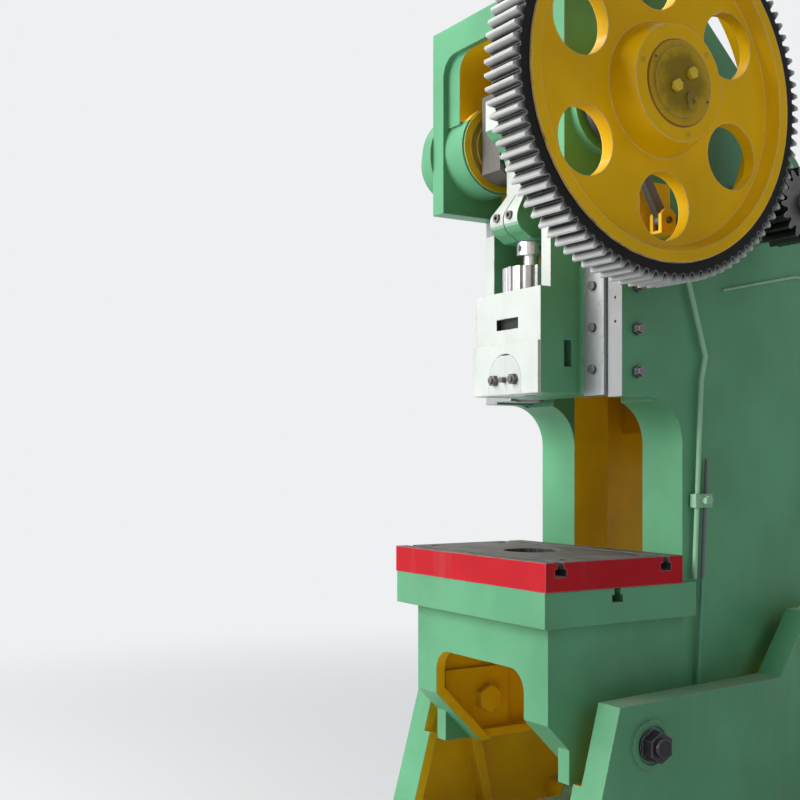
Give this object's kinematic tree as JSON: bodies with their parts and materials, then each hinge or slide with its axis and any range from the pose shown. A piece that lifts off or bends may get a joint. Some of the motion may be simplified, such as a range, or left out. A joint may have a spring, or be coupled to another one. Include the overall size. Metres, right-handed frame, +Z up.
{
  "type": "mechanical stamping press",
  "caption": "Open-back inclinable stamping press: exposed spur gear and flywheel drive, crank-driven slide in V guides, T-slotted bolster, and a tilting frame on a leg base.",
  "frame": {"origin": "on the floor, at the centre of the pattern of anchor holes in the base", "axes": "+X to the operator's right, towards the large gear; +Y from front to back; +Z up"},
  "size_m": [1.097, 1.582, 2.642],
  "materials": {
    "green_paint": "satin enamel",
    "pale_green_paint": "satin enamel",
    "ochre_paint": "satin enamel",
    "gear_yellow": "gloss enamel",
    "red_paint": "gloss enamel",
    "machined_steel": "ground and oiled",
    "dark_steel": "blackened and oiled",
    "bronze": "turned",
    "belt_rubber": "matte",
    "lining": "matte",
    "motor_paint": "satin enamel"
  },
  "bodies": {
    "base": {"left_leg": "green_paint", "right_leg": "green_paint", "base_front_bar": "ochre_paint", "base_rear_plate": "ochre_paint", "tie_bar": "pale_green_paint", "tie_bolts": "dark_steel", "pivot_bolts": "ochre_paint", "pivot_nuts": "dark_steel", "treadle_shaft": "machined_steel"},
    "frame": {"frame": "green_paint", "bolster": "red_paint", "bolster_screws": "dark_steel", "left_gib": "machined_steel", "right_gib": "machined_steel", "left_keeper": "machined_steel", "right_keeper": "machined_steel", "keeper_bolts": "dark_steel", "gib_screws": "dark_steel", "left_bush": "bronze", "right_bush": "bronze", "shaft_housings": "green_paint", "housing_bolts": "dark_steel", "tilt_clamp_bolts": "dark_steel", "tilt_clamp_nuts": "dark_steel", "motor_plate": "green_paint", "motor": "motor_paint", "motor_bolts": "dark_steel", "v_belts": "belt_rubber", "brake_band": "green_paint", "brake_lining": "lining", "brake_bolt": "dark_steel", "clutch_bracket": "ochre_paint", "rod_guide": "ochre_paint"},
    "crank": {"crankshaft": "machined_steel", "brake_drum": "green_paint", "clutch_cam": "machined_steel"},
    "connecting_rod": {"conrod": "pale_green_paint", "conrod_cap": "pale_green_paint", "conrod_bolts": "dark_steel", "clamp_screws": "dark_steel"},
    "screw": {"adjusting_screw": "machined_steel"},
    "slide": {"slide": "green_paint", "shank_clamp": "pale_green_paint", "shank_bolts": "dark_steel", "ball_cap": "machined_steel", "ball_seat": "bronze"},
    "gear": {"bull_gear": "gear_yellow", "gear_bush": "bronze", "hub_cover": "gear_yellow", "hub_bolts": "gear_yellow"},
    "drive_shaft": {"pinion_shaft": "dark_steel", "flywheel": "green_paint", "shaft_nuts": "dark_steel"},
    "motor_rotor": {"motor_pulley": "machined_steel"},
    "latch": {"clutch_latch": "machined_steel"},
    "pull_rod": {"upper_pull_rod": "pale_green_paint", "lower_pull_rod": "machined_steel", "rod_clamp": "pale_green_paint"},
    "treadle": {"treadle": "pale_green_paint"}
  },
  "joints": [
    {"name": "frame_tilt", "type": "hinge", "parent": "base", "child": "frame", "pos_m": [0, -0.32, 0.517], "axis": [-1, 0, 0], "range_deg": [0, 25]},
    {"name": "crank_turn", "type": "hinge", "parent": "frame", "child": "crank", "pos_m": [0, -0.35, 2.162], "axis": [-1, 0, 0], "range_deg": [0, 180]},
    {"name": "rod_swing", "type": "hinge", "parent": "crank", "child": "connecting_rod", "pos_m": [0, -0.35, 2.212], "axis": [-1, 0, 0], "range_deg": [-180.5, 0.5]},
    {"name": "screw_turn", "type": "hinge", "parent": "connecting_rod", "child": "screw", "pos_m": [0, -0.35, 1.85], "axis": [0, 0, 1], "range_deg": [-180, 180]},
    {"name": "slide_stroke", "type": "slide", "parent": "frame", "child": "slide", "axis": [0, 0, -1], "range_m": [0, 0.1002]},
    {"name": "gear_spin", "type": "hinge", "parent": "frame", "child": "gear", "pos_m": [0.48, -0.35, 2.162], "axis": [1, 0, 0], "continuous": true},
    {"name": "pinion_spin", "type": "hinge", "parent": "frame", "child": "drive_shaft", "pos_m": [0, 0.16159, 1.93423], "axis": [1, 0, 0], "continuous": true},
    {"name": "pulley_spin", "type": "hinge", "parent": "frame", "child": "motor_rotor", "pos_m": [-0.4, 0.622, 1.48], "axis": [1, 0, 0], "continuous": true},
    {"name": "pull_rod_slide", "type": "slide", "parent": "frame", "child": "pull_rod", "axis": [0, 0, -1], "range_m": [0, 0.02], "stiffness_N_per_m": 1500, "springref_m": -0.04},
    {"name": "latch_swing", "type": "hinge", "parent": "frame", "child": "latch", "pos_m": [0.355, -0.19, 1.88], "axis": [-1, 0, 0], "range_deg": [0, 12.9]},
    {"name": "treadle_press", "type": "hinge", "parent": "base", "child": "treadle", "pos_m": [0, 0.07, 0.15], "axis": [1, 0, 0], "range_deg": [0, 3], "stiffness_Nm_per_rad": 600, "springref_deg": -4.01}
  ],
  "couplings": [
    {"joint": "slide_stroke", "follows": "crank_turn", "m_per_rad": 0.031831},
    {"joint": "rod_swing", "follows": "crank_turn", "ratio": -1},
    {"joint": "pinion_spin", "follows": "gear_spin", "ratio": -5.2222},
    {"joint": "pulley_spin", "follows": "gear_spin", "ratio": -20.889},
    {"joint": "latch_swing", "follows": "pull_rod_slide", "rad_per_m": 11.2}
  ]
}
